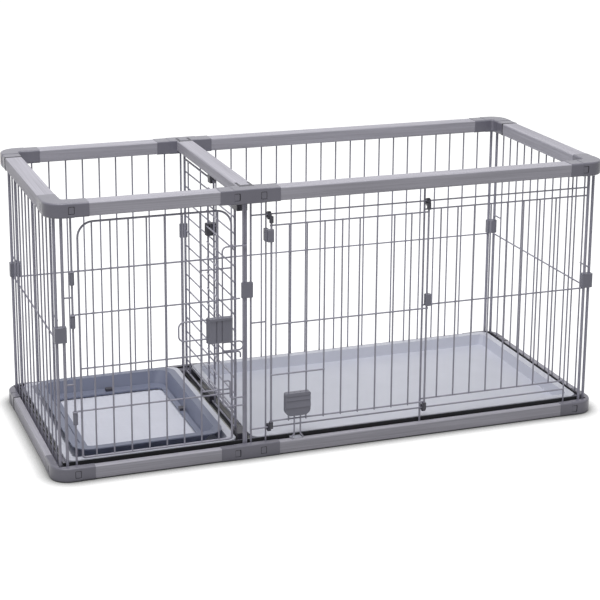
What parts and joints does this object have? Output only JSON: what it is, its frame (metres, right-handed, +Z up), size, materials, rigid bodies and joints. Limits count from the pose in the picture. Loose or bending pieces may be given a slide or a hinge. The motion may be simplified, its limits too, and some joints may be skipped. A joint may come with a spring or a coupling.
{
  "type": "wire dog crate",
  "caption": "Open-top two-room indoor wire dog pen with a swing door, a sliding door, a divider with its own door, lift-out floor trays and a toilet tray",
  "frame": {"origin": "centre of the footprint, on the floor", "axes": "+X along the pen's length towards the large room, the doors face -Y, +Z up"},
  "size_m": [1.25, 0.535, 0.59],
  "materials": {
    "rail": "fine wood-grain extrusion",
    "connector": "fine moulded satin",
    "wire": "grey powder coat",
    "dark_plastic": "moulded",
    "grey_plastic": "moulded",
    "tray": "fine moulded satin",
    "toilet": "moulded satin",
    "pad": "non-woven sheet"
  },
  "bodies": {
    "pen": {"bottom_rail_front_left": "rail", "bottom_rail_front_right": "rail", "bottom_rail_back_left": "rail", "bottom_rail_back_right": "rail", "bottom_rail_left": "rail", "bottom_rail_right": "rail", "bottom_corner_front_left": "connector", "bottom_corner_front_right": "connector", "bottom_corner_back_left": "connector", "bottom_corner_back_right": "connector", "bottom_tee_front": "connector", "bottom_tee_back": "connector", "top_rail_front_left": "rail", "top_rail_front_right": "rail", "top_rail_back_left": "rail", "top_rail_back_right": "rail", "top_rail_left": "rail", "top_rail_right": "rail", "top_corner_front_left": "connector", "top_corner_front_right": "connector", "top_corner_back_left": "connector", "top_corner_back_right": "connector", "top_tee_front": "connector", "top_tee_back": "connector", "snap_pegs": "connector", "top_cross_rail": "rail", "cross_rail_latches": "dark_plastic", "left_panel": "wire", "right_panel": "wire", "back_left_panel": "wire", "back_right_panel": "wire", "front_right_panel": "wire", "hinge_stile": "wire", "hinge_sleeves": "grey_plastic", "striker_post": "wire", "corner_clips": "grey_plastic", "tee_clips": "grey_plastic", "divider_foot_bar": "wire", "divider_panel": "wire", "divider_brackets": "dark_plastic", "divider_snap_clip": "dark_plastic", "lock_keeper": "tray"},
    "swing_door": {"swing_door": "wire"},
    "latch": {"latch_bolt": "wire", "latch_block": "grey_plastic"},
    "sliding_door": {"sliding_door": "wire", "slider_eyelets": "dark_plastic", "slider_grips": "grey_plastic"},
    "slider_lock": {"lock_block": "grey_plastic", "lock_prongs": "wire"},
    "divider_leaf": {"divider_leaf": "wire", "leaf_post": "wire"},
    "right_tray": {"right_tray": "tray"},
    "left_tray": {"left_tray": "tray"},
    "toilet_tray": {"toilet_tray": "toilet", "toilet_pad": "pad"},
    "toilet_retainer": {"toilet_retainer": "toilet", "retainer_latches": "dark_plastic"}
  },
  "joints": [
    {"name": "swing_door_hinge", "type": "hinge", "parent": "pen", "child": "swing_door", "pos_m": [-0.572, -0.2475, 0.3], "axis": [0, 0, -1], "range_deg": [0, 110]},
    {"name": "latch_slide", "type": "slide", "parent": "swing_door", "child": "latch", "axis": [-1, 0, 0], "range_m": [0, 0.025]},
    {"name": "sliding_door_slide", "type": "slide", "parent": "pen", "child": "sliding_door", "axis": [1, 0, 0], "range_m": [0, 0.34]},
    {"name": "slider_lock_lift", "type": "slide", "parent": "sliding_door", "child": "slider_lock", "axis": [0, 0, 1], "range_m": [0, 0.035]},
    {"name": "divider_leaf_hinge", "type": "hinge", "parent": "pen", "child": "divider_leaf", "pos_m": [-0.2125, -0.191, 0.3], "axis": [0, 0, -1], "range_deg": [-90, 0]},
    {"name": "right_tray_lift", "type": "slide", "parent": "pen", "child": "right_tray", "axis": [0, 0, 1], "range_m": [0, 0.1]},
    {"name": "left_tray_lift", "type": "slide", "parent": "pen", "child": "left_tray", "axis": [0, 0, 1], "range_m": [0, 0.1]},
    {"name": "toilet_tray_lift", "type": "slide", "parent": "left_tray", "child": "toilet_tray", "axis": [0, 0, 1], "range_m": [0, 0.6]},
    {"name": "toilet_retainer_lift", "type": "slide", "parent": "toilet_tray", "child": "toilet_retainer", "axis": [0, 0, 1], "range_m": [0, 0.06]}
  ]
}
